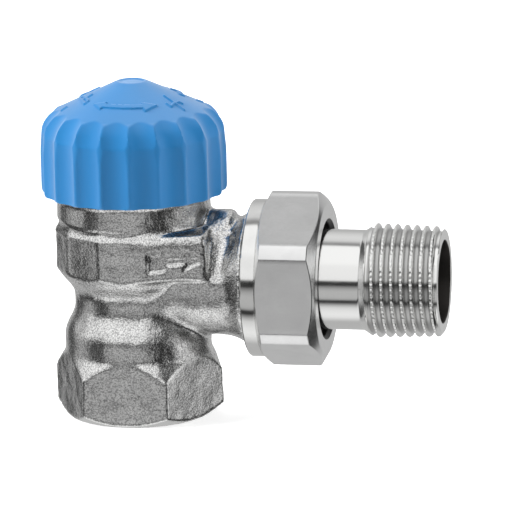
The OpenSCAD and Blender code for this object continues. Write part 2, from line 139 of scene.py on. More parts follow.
class StudioSettings(bpy.types.PropertyGroup):
    view_azimuth: FloatProperty(
        name="Azimuth", description="Camera's turn from the front towards the tail",
        default=float(np.radians(10.973)), subtype="ANGLE", unit="ROTATION")
    view_elevation: FloatProperty(
        name="Elevation", description="Camera's height angle",
        default=float(np.radians(13.566)), subtype="ANGLE", unit="ROTATION")
    view_roll: FloatProperty(
        name="Roll", description="Camera's roll about its own axis",
        default=float(np.radians(-1.335)), subtype="ANGLE", unit="ROTATION")
    view_distance: FloatProperty(
        name="Distance", description="Camera's distance from its aim",
        default=1.0, subtype="DISTANCE", unit="LENGTH")
    lens: FloatProperty(
        name="Lens", description="Focal length in millimetres", default=379.0, min=50, max=600)
    lamp_power: FloatProperty(
        name="Lamp power", description="Power of the key lamp in watts", default=5.5, min=0.0)


# surfaces


def put_mesh(name, points, faces, sharp_angle=None):
    """Makes an object from points in millimetres and four-sided faces, normals outward.

    The enclosed volume is the sum of each face's corner triple products. Where it
    is negative, every face is turned over.
    """
    points = np.asarray(points, dtype=float)
    faces = np.asarray(faces, dtype=np.int64)
    a, b, c, d = (points[faces[:, i]] for i in range(4))
    volume = np.einsum("ij,ij->", a, np.cross(b, c)) + np.einsum("ij,ij->", a, np.cross(c, d))
    if volume < 0:
        faces = faces[:, ::-1]
    mesh = bpy.data.meshes.new(name)
    mesh.from_pydata((points * MM).tolist(), [], faces.tolist())
    mesh.validate()
    return show_mesh(name, mesh, sharp_angle)


def show_mesh(name, mesh, sharp_angle=None):
    """Links a smooth-shaded mesh to the scene, its sharp edges marked by angle."""
    mesh.polygons.foreach_set("use_smooth", np.ones(len(mesh.polygons), dtype=bool))
    if sharp_angle is not None:
        mesh.set_sharp_from_angle(angle=np.radians(sharp_angle))
    mesh.update()
    piece = bpy.data.objects.new(name, mesh)
    bpy.context.scene.collection.objects.link(piece)
    return piece


def skin(name, rows, closed=True, sharp_angle=None):
    """Covers a grid of rings with faces.

    rows[i, j] is point j on ring i. The surface is a function of the ring's
    number and the angle round it. A closed skin joins the last ring to the
    first, as on a pipe. An open one ends in a point at each end, the mean of
    its last ring.
    """
    rings, steps = rows.shape[:2]
    points = rows.reshape(-1, 3)
    ring, step = np.meshgrid(
        np.arange(rings if closed else rings - 1), np.arange(steps), indexing="ij")
    here, there = ring * steps, (ring + 1) % rings * steps
    after = (step + 1) % steps
    faces = np.stack([here + step, here + after, there + after, there + step], -1).reshape(-1, 4)
    if closed:
        return put_mesh(name, points, faces, sharp_angle)
    near = np.arange(0, steps, 2)
    mid, far = (near + 1) % steps, (near + 2) % steps
    base = (rings - 1) * steps
    first, last = np.full_like(near, len(points)), np.full_like(near, len(points) + 1)
    low = np.stack([first, far, mid, near], -1)
    high = np.stack([last, base + near, base + mid, base + far], -1)
    points = np.concatenate([points, [rows[0].mean(0), rows[-1].mean(0)]])
    return put_mesh(name, points, np.concatenate([faces, low, high]), sharp_angle)


def face_middles(piece):
    """Middle of each face in millimetres."""
    middle = np.empty(len(piece.data.polygons) * 3)
    piece.data.polygons.foreach_get("center", middle)
    return middle.reshape(-1, 3) / MM


def rounded(outline, radius, steps=4):
    """Outline with its corners rounded, as a closed loop of points.

    Each corner is replaced by a quadratic curve from a point before it to a
    point after it, both at the radius or at 45 percent of the shorter side.
    """
    corners = np.asarray(outline, dtype=float)
    before, after = np.roll(corners, 1, 0), np.roll(corners, -1, 0)
    to_before, to_after = before - corners, after - corners
    long_before = np.linalg.norm(to_before, axis=1, keepdims=True)
    long_after = np.linalg.norm(to_after, axis=1, keepdims=True)
    reach = np.minimum(radius, 0.45 * np.minimum(long_before, long_after))
    start = corners + to_before / long_before * reach
    end = corners + to_after / long_after * reach
    t = np.linspace(0, 1, steps)[None, :, None]
    curve = (1 - t) ** 2 * start[:, None] + 2 * t * (1 - t) * corners[:, None] + t**2 * end[:, None]
    return curve.reshape(-1, 2)


def about_tail(along, radius, angle):
    """Points at a distance along the tail's axis, a radius from it and an angle round it."""
    along, radius, angle = np.broadcast_arrays(along, radius, angle)
    return np.stack([along, radius * np.sin(angle), TAIL_HEIGHT + radius * np.cos(angle)], -1)


def about_upright(radius, height, angle):
    """Points at a radius from the upright axis, a height and an angle round it."""
    radius, height, angle = np.broadcast_arrays(radius, height, angle)
    return np.stack([radius * np.cos(angle), radius * np.sin(angle), height], -1)


def from_upright(points):
    """Distance of points from the upright axis."""
    return np.hypot(points[:, 0], points[:, 1])


def from_tail(points):
    """Distance of points from the tail's axis."""
    return np.hypot(points[:, 1], points[:, 2] - TAIL_HEIGHT)


def smooth_step(value, low, high):
    """0 below low, 1 above high, and a cubic between them."""
    t = np.clip((value - low) / (high - low), 0, 1)
    return t * t * (3 - 2 * t)


def soft_maximum(first, second, blend):
    """The larger of two values, rounded over a blend where they meet."""
    return 0.5 * (first + second + np.sqrt((first - second) ** 2 + blend**2))


def band(value, rise, fall):
    """A cubic step up over one range of values and down over another."""
    return smooth_step(value, *rise) * (1 - smooth_step(value, *fall))


def lattice_noise(points, spacing, seed):
    """Smooth noise from -1 to 1.

    Random numbers sit on a cubic lattice. A point takes the mean of the eight
    around it, weighted by the cubic step of its place in the cell.
    """
    table = np.random.default_rng(seed).uniform(-1, 1, 4096)
    place = points / spacing
    cell = np.floor(place).astype(np.int64)
    part = place - cell
    part = part * part * (3 - 2 * part)
    total = np.zeros(len(points))
    for corner in np.ndindex(2, 2, 2):
        offset = np.array(corner)
        weight = np.prod(np.where(offset == 1, part, 1 - part), axis=1)
        key = (cell + offset) @ np.array([73856093, 19349663, 83492791])
        total += weight * table[key % 4096]
    return total


def stroke_distance(points, start, end):
    """Distance from flat points to the nearest of several straight strokes.

    The nearest point of a stroke is at the share of its length where the
    point projects onto it, kept between its ends.
    """
    side = end - start
    to_point = points[:, None] - start[None]
    share = np.clip((to_point * side).sum(-1) / (side**2).sum(-1), 0, 1)
    return np.linalg.norm(to_point - share[..., None] * side, axis=-1).min(1)


def outline_distance(points, outline):
    """Signed distance from flat points to a closed outline, negative inside.

    A point is inside if a level line from it crosses an odd number of sides.
    """
    start = np.asarray(outline, dtype=float)
    end = np.roll(start, -1, 0)
    side = end - start
    distance = stroke_distance(points, start, end)
    between = (start[:, 1] > points[:, None, 1]) != (end[:, 1] > points[:, None, 1])
    rise = np.where(side[:, 1] == 0, 1e-9, side[:, 1])
    crossing = start[:, 0] + side[:, 0] * (points[:, None, 1] - start[:, 1]) / rise
    inside = (between & (points[:, None, 0] < crossing)).sum(1) % 2 == 1
    return np.where(inside, -distance, distance)


# finishes


WHITE = (1.0, 1.0, 1.0, 1.0)
# stretches of a noise: its features a metre along each axis
RINGS_ROUND_TAIL = (6000.0, 25.0, 25.0)
MILLING_MARKS = (4500.0, 300.0, 300.0)


def add_node(tree, kind, settings=None, **sockets):
    """Adds a node with its settings, and with values on its sockets by their names."""
    made = tree.nodes.new(kind)
    for key, value in (settings or {}).items():
        setattr(made, key, value)
    for key, value in sockets.items():
        made.inputs[key.replace("_", " ")].default_value = value
    return made


def fill_ramp(node, stops):
    """Fills a colour ramp with stops, each a place and a colour or a grey."""
    ramp = node.color_ramp
    while len(ramp.elements) < len(stops):
        ramp.elements.new(0.5)
    for element, (place, colour) in zip(ramp.elements, stops):
        element.position = place
        element.color = (*colour, 1.0) if isinstance(colour, tuple) else (colour,) * 3 + (1.0,)


def mix_colours(tree, first, second, share=1.0, blend="MIX"):
    """Output that mixes two colours by a share. Each is a value or another output."""
    made = add_node(tree, "ShaderNodeMix", {"data_type": "RGBA", "blend_type": blend})
    for socket, value in ((0, share), (6, first), (7, second)):
        if isinstance(value, bpy.types.NodeSocket):
            tree.links.new(value, made.inputs[socket])
        else:
            made.inputs[socket].default_value = value
    return made.outputs[2]


class Finish:
    """A material whose nodes are added one call at a time."""

    def __init__(self, name, **sockets):
        self.material = bpy.data.materials.new(name)
        self.material.use_nodes = True
        self.tree = self.material.node_tree
        self.tree.nodes.clear()
        self.shader = self.node("ShaderNodeBsdfPrincipled", **sockets)
        output = self.node("ShaderNodeOutputMaterial")
        self.link(self.shader, "BSDF", output, "Surface")
        self.place = self.node("ShaderNodeTexCoord")

    def node(self, kind, settings=None, **sockets):
        return add_node(self.tree, kind, settings, **sockets)

    def link(self, start, output, end, socket):
        self.tree.links.new(start.outputs[output], end.inputs[socket])

    def attribute(self, name):
        return self.node("ShaderNodeAttribute", {"attribute_name": name})

    def noise(self, scale, detail=3.0, roughness=0.6, stretch=None):
        """Noise on object coordinates, its features about 1 / scale metres wide."""
        made = self.node("ShaderNodeTexNoise", Scale=scale, Detail=detail, Roughness=roughness)
        place, output = self.place, "Object"
        if stretch is not None:
            place, output = self.node("ShaderNodeMapping", Scale=stretch), "Vector"
            self.link(self.place, "Object", place, "Vector")
        self.link(place, output, made, "Vector")
        return made

    def ramp(self, source, stops):
        """Colour ramp over a noise or an attribute."""
        made = self.node("ShaderNodeValToRGB")
        fill_ramp(made, stops)
        self.link(source, "Fac", made, "Fac")
        return made

    def between(self, source, low, high):
        """A number that runs from low to high with a noise or an attribute."""
        made = self.node("ShaderNodeMapRange", To_Min=low, To_Max=high)
        self.link(source, "Fac", made, "Value")
        return made

    def tint(self, source, colour, least):
        """Base colour that runs from a share of a colour up to the colour itself."""
        tint = self.ramp(source, [(0.3, tuple(least * c for c in colour)), (0.7, colour)])
        self.link(tint, "Color", self.shader, "Base Color")

    def gloss(self, source, roughness, spread):
        """Roughness that strays to both sides by a share of itself."""
        rough = self.between(source, roughness * (1 - spread), roughness * (1 + spread))
        self.link(rough, "Result", self.shader, "Roughness")

    def bump(self, height, output, distance, over=None):
        """Bump on the shader, so many metres high, over an earlier bump."""
        made = self.node("ShaderNodeBump", Strength=1.0, Distance=distance)
        self.link(height, output, made, "Height")
        if over is not None:
            self.link(over, "Normal", made, "Normal")
        self.link(made, "Normal", self.shader, "Normal")
        return made


def cast_finish(sizes):
    """Nickel-plated sand casting: grainy grey with bright tops, smoother where turned."""
    made = Finish("Cast nickel", Metallic=1.0)
    turned = made.attribute("turned")
    dark, light = tuple(sizes.metal_dark), tuple(sizes.metal_light)
    middle = tuple(0.35 * a + 0.65 * b for a, b in zip(dark, light))
    grain = made.ramp(made.noise(3600.0, 2.0), [(0.38, dark), (0.50, middle), (0.62, light)])
    stain = made.ramp(made.noise(260.0, 2.0, 0.5), [(0.35, 0.90), (0.62, 1.0)])
    stained = mix_colours(
        made.tree, grain.outputs["Color"], stain.outputs["Color"], 1.0, "MULTIPLY")
    colour = mix_colours(made.tree, stained, (*light, 1.0), turned.outputs["Fac"])
    made.tree.links.new(colour, made.shader.inputs["Base Color"])
    rough = made.between(made.noise(5200.0, 2.0), 0.09, 0.24)
    made.link(rough, "Result", made.shader, "Roughness")
    height = made.node("ShaderNodeMath", {"operation": "MULTIPLY"})
    made.link(made.between(turned, 1.0, 0.15), "Result", height, 0)
    made.link(made.noise(2100.0), "Fac", height, 1)
    made.bump(height, "Value", 0.000075)
    return made.material


def turned_finish(name, colour, roughness, ring_depth):
    """Turned nickel: fine rings round the tail's axis and faint clouds in the gloss."""
    made = Finish(name, Metallic=1.0)
    cloud = made.noise(300.0)
    made.tint(cloud, colour, 0.93)
    made.gloss(cloud, roughness, 0.4)
    made.bump(made.noise(1.0, 2.0, 0.7, RINGS_ROUND_TAIL), "Fac", ring_depth)
    return made.material


def thread_finish(name, colour, roughness):
    """Bright turned nickel, duller in the thread's grooves and darkened there with painted shade.
    """
    made = Finish(name, Metallic=1.0)
    groove = made.attribute("groove")
    cloud = made.between(made.noise(300.0), 0.6 * roughness, 1.4 * roughness)
    rough = made.node("ShaderNodeMath", {"operation": "ADD"})
    made.link(cloud, "Result", rough, 0)
    made.link(made.between(groove, 0.0, 0.05), "Result", rough, 1)
    made.link(rough, "Value", made.shader, "Roughness")
    # painted shade: the base colour falls to 55 percent of itself down in the thread's grooves
    tint = made.ramp(groove, [(0.0, colour), (1.0, tuple(0.55 * c for c in colour))])
    made.link(tint, "Color", made.shader, "Base Color")
    made.bump(made.noise(1.0, 2.0, 0.7, RINGS_ROUND_TAIL), "Fac", 0.000003)
    return made.material


def milled_finish(name, colour, roughness):
    """Milled nickel plate: satin, with fine marks and small specks."""
    made = Finish(name, Metallic=1.0)
    specks = made.noise(2500.0, 2.0, 0.5)
    made.tint(made.noise(180.0), colour, 0.92)
    made.gloss(specks, roughness, 0.25)
    lines = made.bump(made.noise(1.0, 3.0, 0.7, MILLING_MARKS), "Fac", 0.000006)
    made.bump(specks, "Fac", 0.000008, over=lines)
    return made.material


def plastic_finish(colour):
    """Moulded plastic: satin skin with a fine orange-peel and faint colour clouds."""
    made = Finish("Blue plastic", IOR=1.5, Sheen_Weight=0.4, Sheen_Roughness=0.5)
    peel = made.noise(1800.0, 2.0, 0.5)
    made.tint(made.noise(90.0, 2.0, 0.5), colour, 0.95)
    made.gloss(peel, 0.40, 0.15)
    made.bump(peel, "Fac", 0.000006)
    return made.material


def inner_finish(name, colour, metallic, roughness, grain):
    """Finish of the pieces inside: a colour with fine grain in its gloss and height."""
    made = Finish(name, Metallic=metallic)
    fine = made.noise(grain)
    made.tint(fine, colour, 0.85)
    made.gloss(fine, roughness, 0.2)
    made.bump(fine, "Fac", 0.00001)
    return made.material


# casting


# the panel with the arrow, from above: where it leaves the drum and where it ends
PANEL_START = 15.013 * np.array([np.cos(np.radians(285)), np.sin(np.radians(285))])
PANEL_END = np.array([15.4, -11.0])
# the arrow's outline: distance along the panel, and height
ARROW = [
    (1.35, 29.8), (4.6, 30.0), (4.75, 31.0), (8.5, 31.15), (7.85, 30.0), (11.7, 31.6),
    (8.05, 33.35), (8.35, 32.45), (4.75, 32.35), (4.6, 33.25), (1.35, 33.15),
]
ARROW_MIDDLE = 31.6
# more rounds of smoothing at the waist, then depths and heights cut or raised
WAIST_ROUNDS = 9
NECK_SWELL, LEDGE_SWELL = 0.4, 0.25
INLET_RELIEF, SPIGOT_RELIEF = 1.15, 1.0
RECESS_START, RECESS_SLOPE = 15.3, 0.32


def cast_mesh(grid):
    """Even skin of the casting, from a merged copy of its solid's mesh."""
    copy = frame["nodes"]["valve_body"].data.copy()
    work = bmesh.new()
    work.from_mesh(copy)
    bmesh.ops.remove_doubles(work, verts=work.verts, dist=1e-6)
    work.to_mesh(copy)
    work.free()
    holder = bpy.data.objects.new("casting_work", copy)
    bpy.context.scene.collection.objects.link(holder)
    remesh = holder.modifiers.new("Skin", "REMESH")
    remesh.mode = "VOXEL"
    remesh.voxel_size = grid
    graph = bpy.context.evaluated_depsgraph_get()
    mesh = bpy.data.meshes.new_from_object(holder.evaluated_get(graph))
    bpy.data.objects.remove(holder)
    bpy.data.meshes.remove(copy)
    return mesh


def neighbour_mean(values, edges):
    """Mean of each vertex's neighbours along the edges."""
    ends = np.concatenate([edges[:, 0], edges[:, 1]])
    others = np.concatenate([edges[:, 1], edges[:, 0]])
    count = np.bincount(ends, minlength=len(values))
    sums = [np.bincount(ends, column[others], len(values)) for column in values.T]
    return np.stack(sums, 1) / count[:, None]


def turned_share(points):
    """1 where the casting is machined, 0 where it keeps its sand skin.

    Machined are the foot's end and its chamfer, the spigot, the bores and the
    head under the cap, each told by its distances from the two axes.
    """
    upright, tail = from_upright(points), from_tail(points)
    x, z = points[:, 0], points[:, 2]
    foot = (z < 0.1) | ((z < 1.9) & (upright > 13.28 + 1.358 * z))
    spigot = x > 21.8
    bores = ((upright < 10.9) & ((tail > 11.2) | (x < 5))) | ((tail < 8.0) & (x > 8))
    head = z > 42.1
    return (foot | spigot | bores | head).astype(float)


def smooth_casting(points, edges, share, sizes):
    """Rounds the cast edges.

    Each round moves a point half way to the mean of its neighbours, or a tenth
    of the way where it is turned. The first round moves all points, the others
    those above the foot, and the last nine only the waist's.
    """
    x, z = points[:, 0], points[:, 2]
    at_branch = smooth_step(x, 13.0, 16.0) * (z > 26.5)
    above_foot = smooth_step(z, 11.0, 14.0) * (1 - at_branch)
    waist = above_foot * (1 - smooth_step(z, 24.0, 27.0))
    soft = 0.5 * (1 - 0.8 * share)
    for turn in range(sizes.edge_rounds + WAIST_ROUNDS):
        part = 1 if turn < 1 else above_foot if turn < sizes.edge_rounds else waist
        points = points + (soft * part)[:, None] * (neighbour_mean(points, edges) - points)
    return points


def arrow_share(points):
    """1 in the arrow on the panel, 0 around it.

    The arrow is an outline in the panel's plane, along it and up. Its sides
    are cubic steps of the distance to the outline, steep below the arrow's
    middle and gentle above it.
    """
    side = PANEL_END - PANEL_START
    length = np.linalg.norm(side)
    along = (points[:, :2] - PANEL_START) @ side / length
    outward = (points[:, :2] - PANEL_START) @ np.array([side[1], -side[0]]) / length
    z = points[:, 2]
    near = (np.abs(outward) < 0.6) & (along > 0) & (along < 12.2) & (z > 27.8) & (z < 35.3)
    flat = np.stack([along[near], z[near]], 1)
    gap = outline_distance(flat, ARROW)
    above = smooth_step(flat[:, 1], ARROW_MIDDLE - 0.2, ARROW_MIDDLE + 0.5)
    share = np.zeros(len(points))
    share[near] = 1 - smooth_step(gap, -0.25 - 0.9 * above, 0.35 + 0.3 * above)
    return share


def shape_casting(points, edges, normals, sizes):
    """Casting's points, smoothed, relieved for its threads, lumped and marked.

    Swells push the neck and the ledge out from the upright axis, on the side
    away from the tail. Relief widens the inlet and narrows the spigot to the
    roots of their threads. Lumps of noise, the recess beside the panel and the
    arrow move points along their normals. The recess falls evenly to a line
    that leans outward as it rises, and comes back up within 2 mm.
    """
    share = turned_share(points)
    upright, tail = from_upright(points), from_tail(points)
    x, z = points[:, 0], points[:, 2]
    points = smooth_casting(points, edges, share, sizes)
    swell = NECK_SWELL * band(z, (36.7, 37.8), (41.7, 42.1))
    swell += LEDGE_SWELL * band(z, (34.7, 35.3), (35.5, 36.3))
    swell *= (upright > 12.8) * (1 - smooth_step(x, -2, 6))
    points[:, :2] *= (1 + swell / np.maximum(upright, 1))[:, None]
    inlet = (upright > 8.9) & (upright < 10.2) & (z < 13.3)
    widen = INLET_RELIEF * band(z, (0.3, 1.2), (12.6, 13.2)) * inlet
    points[:, :2] *= (1 + widen / np.maximum(upright, 1))[:, None]
    spigot = (tail > 12.7) & (x > 23.6)
    narrow = SPIGOT_RELIEF * band(x, (23.6, 24.4), (30.2, 30.9)) * spigot
    shrink = 1 - narrow / np.maximum(tail, 1)
    points[:, 1] *= shrink
    points[:, 2] = TAIL_HEIGHT + (points[:, 2] - TAIL_HEIGHT) * shrink
    lumps = lattice_noise(points, 3.1, 5) + 0.6 * lattice_noise(points, 1.3, 9)
    height = millimetres(sizes.lump_height) * lumps * (1 - share)
    bottom = RECESS_START + 1.7 + np.clip(0.25 * (z - 28.0), 0.0, 1.6)
    recess = RECESS_SLOPE * (bottom - RECESS_START) * (np.abs(points[:, 1]) > 5)
    recess *= band(x, (RECESS_START, bottom), (bottom, bottom + 2.0))
    height -= recess * band(z, (27.0, 29.5), (34.5, 37.0))
    height -= millimetres(sizes.arrow_depth) * arrow_share(points)
    share = neighbour_mean(share[:, None], edges)[:, 0]
    return points + normals * height[:, None], share


class VALVE_OT_casting(bpy.types.Operator):
    """Builds the sand-cast body over its solid, with the sunk flow arrow"""

    bl_idname = "valve.casting"
    bl_label = "Casting"

    def execute(self, context):
        sizes = context.scene.valve_casting
        mesh = cast_mesh(sizes.skin_grid)
        count = len(mesh.vertices)
        points, normals = np.empty(count * 3), np.empty(count * 3)
        edges = np.empty(len(mesh.edges) * 2, dtype=np.int64)
        mesh.vertices.foreach_get("co", points)
        mesh.vertices.foreach_get("normal", normals)
        mesh.edges.foreach_get("vertices", edges)
        points, share = shape_casting(
            points.reshape(-1, 3) / MM, edges.reshape(-1, 2), normals.reshape(-1, 3), sizes)
        mesh.vertices.foreach_set("co", (points * MM).ravel())
        turned = mesh.attributes.new("turned", "FLOAT", "POINT")
        turned.data.foreach_set("value", share)
        piece = show_mesh("cast_body", mesh)
        piece.data.materials.clear()
        piece.data.materials.append(cast_finish(sizes))
        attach(piece, "valve")
        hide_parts("valve_body")
        print("cast body triangles:", 2 * len(mesh.polygons))
        return {"FINISHED"}


PIPE_WALL = 0.25


def helix_surface(name, along, radius, depth, pitch, inward, place, steps=144, per_turn=12):
    """Thread as a helical surface on a pipe.

    The crest's radius falls by the depth where the phase, the distance along
    less the turn's share of the pitch, is near a half. Flanks are cubic
    steps, so crest and root are flat. The thread runs out at both ends, and
    the other side of the pipe is plain.
    """
    start, end = along
    turns = (end - start) / pitch
    t = np.linspace(start, end, int(turns * per_turn) + 1)[:, None]
    angle = np.linspace(0, TURN, steps, endpoint=False)[None]
    phase = (t / pitch - angle / TURN) % 1.0
    notch = 1 - smooth_step(np.abs(phase - 0.5), 0.10, 0.42)
    run_out = 0.7 * pitch
    fade = band(t, (start, start + run_out), (end - run_out, end))
    sign = 1 if inward else -1
    face = radius + sign * depth * notch * fade + sign * depth * (1 - fade)
    back = np.full_like(face, radius + sign * (depth + PIPE_WALL))
    rows = np.concatenate([place(t, face, angle), place(t, back, angle)[::-1]])
    return skin(name, rows, sharp_angle=50)


class VALVE_OT_body_threads(bpy.types.Operator):
    """Builds the inlet's inner thread and the union thread on the branch"""

    bl_idname = "valve.body_threads"
    bl_label = "Body threads"

    def execute(self, context):
        sizes = context.scene.valve_union
        pitch = millimetres(sizes.pitch)
        finish = turned_finish("Cut nickel", tuple(sizes.satin), 0.22, 0.00001)
        inlet = helix_surface(
            "inlet_turns", (0.5, 12.9), 9.3, 0.95, pitch, True,
            lambda along, radius, angle: about_upright(radius, along, angle))
        spigot = helix_surface(
            "spigot_turns", (24.2, 30.5), 13.18, 0.8, 1.5, False, about_tail)
        for piece in (inlet, spigot):
            piece.data.materials.append(finish)
            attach(piece, "valve")
        return {"FINISHED"}


# cap


# profiles as radius and height, and the shoulder as its ellipse's middle and two radii
CAP_OUTSIDE = np.array([(0.0, 62.7), (2.15, 62.7), (2.45, 63.0), (2.85, 62.9), (13.99, 57.61)])
CAP_SHOULDER = (13.2, 53.4, 3.8, 4.3)
CAP_SCOOPS = ((20, 0.0, 53.4, 0.0), (45, 0.70, 55.6, 0.5))
CAP_SKIRT = np.array([(17.0, 53.4), (17.3, 50.0), (17.3, 42.6), (17.22, 42.3), (16.95, 42.2)])
CAP_INSIDE = np.array([
    (15.35, 42.2), (15.0, 42.6), (15.0, 50.2), (14.35, 50.8), (13.75, 53.9), (12.6, 55.9),
    (4.2, 60.5), (4.2, 54.2), (0.0, 54.2)])
# marks on the cone, seen from above
CAP_ARROW = [
    (-5.59, -7.44), (-3.97, -9.59), (-3.56, -9.09), (-1.8, -9.60), (0.2, -9.82), (2.2, -9.60),
    (3.93, -9.05), (4.58, -9.74), (6.36, -7.02), (3.34, -7.56), (3.60, -8.10), (2.0, -8.62),
    (0.2, -8.82), (-1.6, -8.65), (-3.15, -8.20), (-2.84, -7.74),
]
CAP_MARKS = [
    [(-9.36, -2.01), (-7.55, -6.17), (-6.94, -5.56), (-8.73, -1.62), (-9.36, -2.01)],
    [(6.76, -3.00), (8.8, -4.0), (10.83, -5.00)],
    [(7.69, -5.39), (8.57, -5.79), (8.81, -4.08), (9.48, -2.76), (10.07, -2.83)],
    [(6.80, 3.06), (8.40, 4.29)],
    [(11.48, 3.96), (12.26, 4.71)],
]


def resampled(corners, spacing):
    """Points along a polyline, a spacing apart or closer, with its corners kept."""
    length = np.concatenate([[0], np.cumsum(np.linalg.norm(np.diff(corners, axis=0), axis=1))])
    places = np.concatenate([
        np.linspace(a, b, max(2, int(np.ceil((b - a) / spacing)) + 1))[:-1]
        for a, b in zip(length[:-1], length[1:])] + [[length[-1]]])
    return np.stack([np.interp(places, length, corners[:, i]) for i in range(2)], 1)


def cap_outline():
    """Outer profile of the cap from its top to its rim, as radius and height.

    The shoulder between the cone and the skirt is part of an ellipse. Three
    rounds of weights one, two and one soften the corners.
    """
    cx, cz, a, b = CAP_SHOULDER
    angle = np.radians(np.linspace(78, 0, 15))
    arc = np.stack([cx + a * np.cos(angle), cz + b * np.sin(angle)], 1)
    top = resampled(CAP_OUTSIDE[:4], 0.2)
    cone = resampled(CAP_OUTSIDE[3:], 0.13)
    shoulder = resampled(arc, 0.3)
    skirt = resampled(CAP_SKIRT, 0.45)
    line = np.concatenate([top[:-1], cone[:-1], shoulder[:-1], skirt])
    smooth = line.copy()
    for _ in range(3):
        smooth[1:-1] = 0.25 * smooth[:-2] + 0.5 * smooth[1:-1] + 0.25 * smooth[2:]
    smooth[0] = line[0]
    return smooth


def cutter_depth(points, inward, through, direction, radius):
    """How far a line from each point runs inward until it leaves a round cutter.

    It is the larger root of the squared distance from the cutter's axis
    against the squared radius. Outside the cutter it is minus the gap to it.
    """
    direction = direction / np.linalg.norm(direction)
    offset = points - through
    across = offset - (offset @ direction)[..., None] * direction
    along = inward - (inward @ direction)[..., None] * direction
    a = (along**2).sum(-1)
    b = (across * along).sum(-1)
    gap = (across**2).sum(-1) - radius**2
    root = np.sqrt(np.maximum(b * b - a * gap, 0))
    inside = gap < 0
    return np.where(inside, (-b + root) / np.maximum(a, 1e-6), radius - np.sqrt(gap + radius**2))


def flute_depth(outline, normal, angle, sizes):
    """Depth of the flutes under the cap's outline.

    An upright round cutter shapes each flute, and two leaning ones scoop it
    out at the shoulder. Each scoop has a tilt in degrees, a shift inward, a
    height and a blend. The depth is the largest of the cutters', with the
    blend rounding where two meet.
    """
    share = TURN / sizes.flutes
    local = (angle + share / 2) % share - share / 2
    here = about_upright(outline[:, :1], outline[:, 1:], local[None])
    inward = -about_upright(normal[:, :1], normal[:, 1:], local[None])
    radius, floor = millimetres(sizes.flute_radius), millimetres(sizes.floor_radius)
    middle = np.array([floor + radius, 0, 0])
    depth = cutter_depth(here, inward, middle, np.array([0.0, 0, 1]), radius)
    for tilt, shift, height, blend in CAP_SCOOPS:
        tilt = np.radians(tilt)
        lean = np.array([-np.sin(tilt), 0, np.cos(tilt)])
        off = np.array([np.cos(tilt), 0, np.sin(tilt)])
        middle = np.array([floor - shift, 0, height]) + radius * off
        depth = soft_maximum(depth, cutter_depth(here, inward, middle, lean, radius), blend)
    return soft_maximum(depth, 0.0, 0.06) * smooth_step(outline[:, :1], 6.0, 9.0)


def mark_heights(points, outline, height):
    """Height of the marks at each point: strokes and arrows with soft sides, twice round."""
    cone = (outline[:, 0] > 2.9) & (outline[:, 0] < 13.9)
    flat = points[cone].reshape(-1, 3)[:, :2]
    start = np.concatenate([mark[:-1] for mark in CAP_MARKS])
    end = np.concatenate([mark[1:] for mark in CAP_MARKS])
    strokes = stroke_distance(
        flat, np.concatenate([start, -start]), np.concatenate([end, -end]))
    arrows = np.minimum(outline_distance(flat, CAP_ARROW), outline_distance(-flat, CAP_ARROW))
    raised = 1 - np.minimum(smooth_step(strokes, 0.14, 0.30), smooth_step(arrows, -0.08, 0.08))
    heights = np.zeros(points.shape[:2])
    heights[cone] = (raised * height).reshape(-1, points.shape[1])
    return heights


class VALVE_OT_cap(bpy.types.Operator):
    """Builds the blue hand cap with its scooped flutes and raised marks"""

    bl_idname = "valve.cap"
    bl_label = "Cap"

    def execute(self, context):
        sizes = context.scene.valve_cap
        outline = cap_outline()
        slope = np.gradient(outline, axis=0)
        normal = np.stack([-slope[:, 1], slope[:, 0]], 1)
        normal[outline[:, 1] < 43] = (1, 0)
        normal /= np.linalg.norm(normal, axis=1, keepdims=True)
        angle = np.linspace(0, TURN, 20 * sizes.flutes, endpoint=False)
        points = about_upright(outline[:, :1], outline[:, 1:], angle[None])
        out = about_upright(normal[:, :1], normal[:, 1:], angle[None])
        points = points - out * flute_depth(outline, normal, angle, sizes)[..., None]
        marks = mark_heights(points, outline, millimetres(sizes.mark_height))
        points = points + out * marks[..., None]
        inside = resampled(rounded(CAP_INSIDE, 0.25, 3)[1:-1], 3.0)
        inside = about_upright(inside[:, :1], inside[:, 1:], angle[None])
        rows = np.concatenate([points[1:], inside[:-1]])
        piece = skin("hand_cap", rows, closed=False, sharp_angle=60)
        piece.data.materials.append(plastic_finish(tuple(sizes.plastic)))
        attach(piece, "cap")
        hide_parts("protective_cap")
        print("cap triangles:", 2 * len(piece.data.polygons))
        return {"FINISHED"}


# union


# the nut: half its width, its turned corners' radius and the edges' bevel, the slopes
# of its cones, and its profile as distance along the tail and radius
NUT_HALF, NUT_CORNER, NUT_BEVEL = 14.8, 16.4, 0.09
LEFT_CONE, RIGHT_CONE = 0.9 / 1.75, 1.4 / 2.38
NUT_SKIRT = [
    (22.2, 13.95), (22.2, 14.35), (22.28, 14.52), (22.45, 14.63), (22.7, 14.65), (24.6, 14.65),
    (24.78, 14.6), (24.86, 14.48), (24.93, 14.55),
]
NUT_END = [
    (36.1, 14.19), (36.18, 14.01), (36.2, 13.7), (36.2, 12.5), (36.2, 11.45), (36.18, 11.25),
    (36.05, 11.08), (35.7, 10.7), (35.55, 10.62), (35.3, 10.6),
]
NUT_INSIDE = [
    (34.3, 10.6), (34.15, 12.6), (31.35, 12.6), (31.2, 13.26), (22.9, 13.26), (22.3, 13.8),
]


